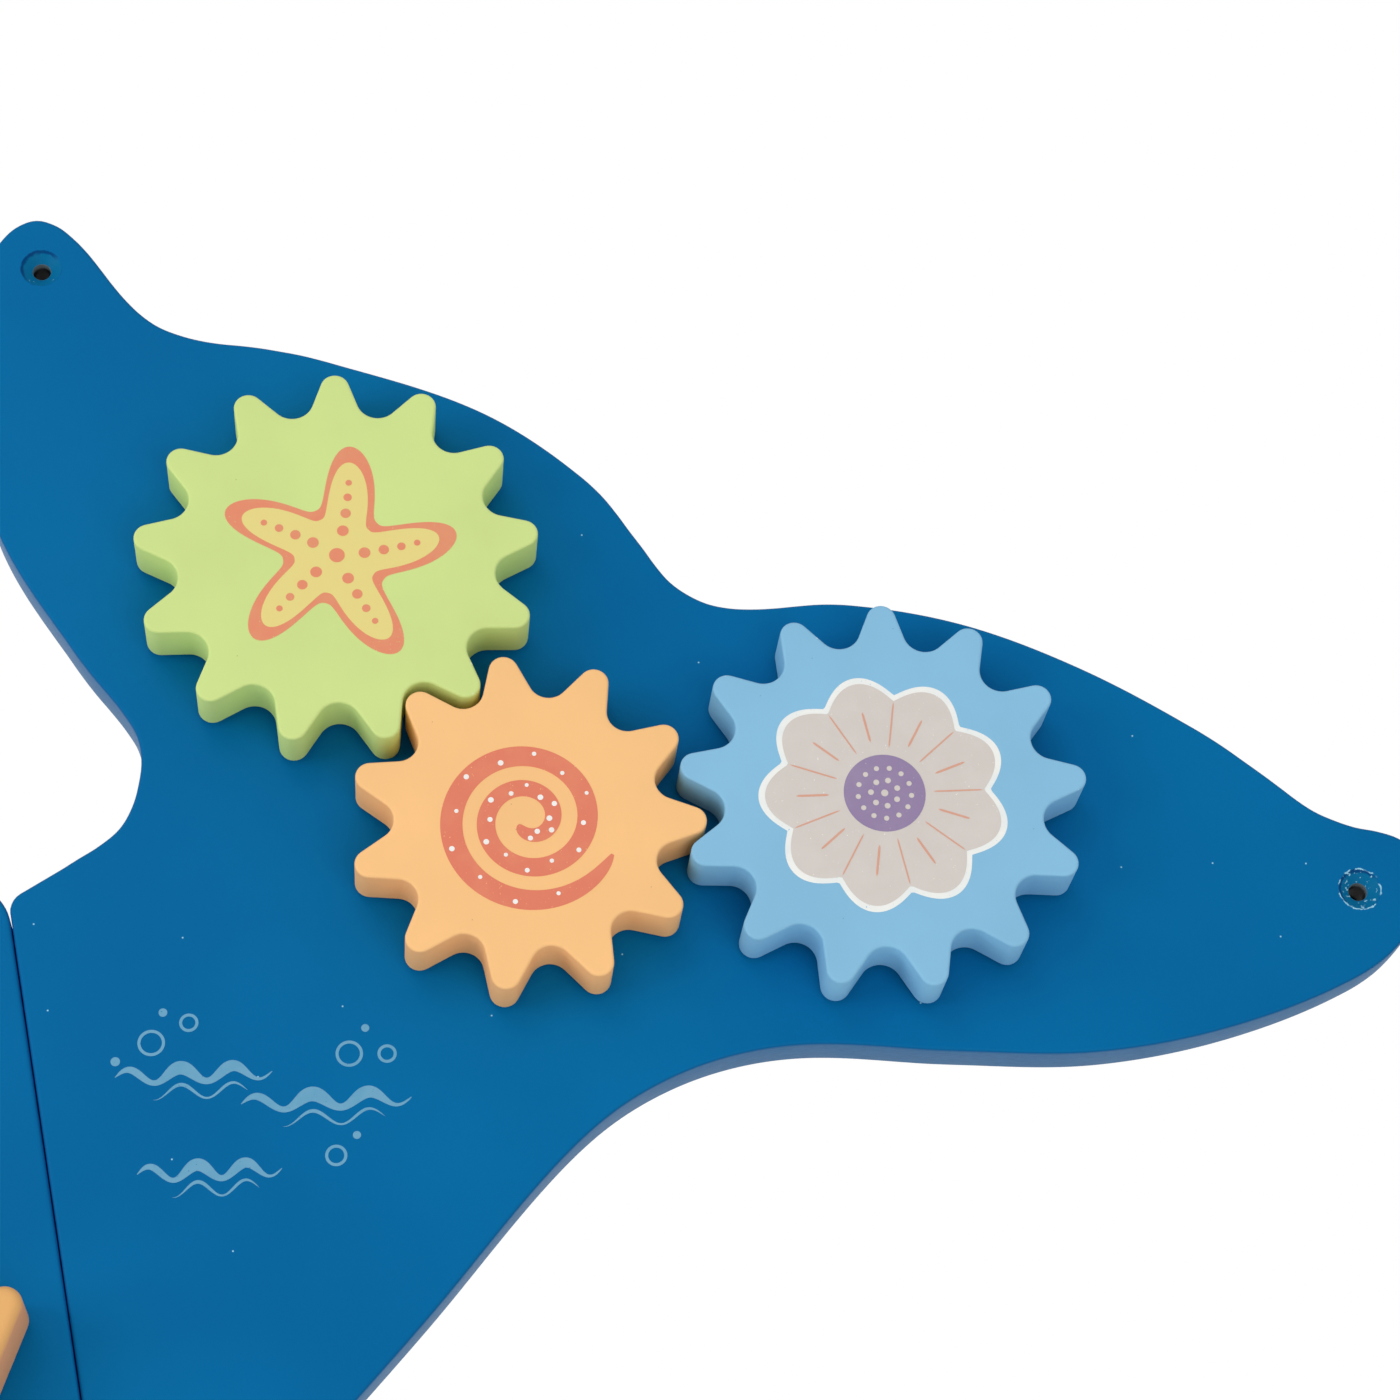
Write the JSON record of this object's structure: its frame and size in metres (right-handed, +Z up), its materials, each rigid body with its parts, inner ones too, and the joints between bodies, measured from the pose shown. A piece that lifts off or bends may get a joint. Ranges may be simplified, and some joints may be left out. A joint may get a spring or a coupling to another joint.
{
  "type": "wooden activity panel",
  "caption": "Wall activity panel cut from board like a whale's tail, with a train of meshing toy gears that turn by hand and a fixed three-cornered block.",
  "frame": {"origin": "on the back face, midway between the axes of the orange and the blue gear", "axes": "+Z up, +X to the right as seen from the front, +Y into the wall, so the front faces -Y"},
  "size_m": [0.5459, 0.041, 0.5116],
  "materials": {
    "board_paint": "blue satin paint on board",
    "green_paint": "green matte paint on wood",
    "orange_paint": "orange matte paint on wood",
    "pale_blue_paint": "pale blue matte paint on wood",
    "bare_wood": "sanded beech",
    "bush_plastic": "off-white moulded",
    "steel": "zinc plated"
  },
  "bodies": {
    "panel": {"tail_board": "board_paint", "body_board": "board_paint", "green_bush": "bush_plastic", "orange_bush": "bush_plastic", "blue_bush": "bush_plastic", "orange_block": "orange_paint", "block_screw_left": "steel", "block_screw_right": "steel"},
    "green_wheel": {"green_gear": "green_paint", "green_axle": "bare_wood", "green_washer": "steel", "green_screw": "steel"},
    "orange_wheel": {"orange_gear": "orange_paint", "orange_axle": "bare_wood", "orange_washer": "steel", "orange_screw": "steel"},
    "blue_wheel": {"blue_gear": "pale_blue_paint", "blue_axle": "bare_wood", "blue_washer": "steel", "blue_screw": "steel"}
  },
  "joints": [
    {"name": "green_gear_spin", "type": "hinge", "parent": "panel", "child": "green_wheel", "pos_m": [-0.09557, 0, 0.10103], "axis": [0, -1, 0], "continuous": true},
    {"name": "orange_gear_spin", "type": "hinge", "parent": "panel", "child": "orange_wheel", "pos_m": [-0.05394, 0, 0.00529], "axis": [0, -1, 0], "continuous": true},
    {"name": "blue_gear_spin", "type": "hinge", "parent": "panel", "child": "blue_wheel", "pos_m": [0.05394, 0, -0.00529], "axis": [0, -1, 0], "continuous": true}
  ],
  "couplings": [
    {"joint": "orange_gear_spin", "follows": "green_gear_spin", "ratio": -1.1818},
    {"joint": "blue_gear_spin", "follows": "green_gear_spin", "ratio": 1}
  ]
}
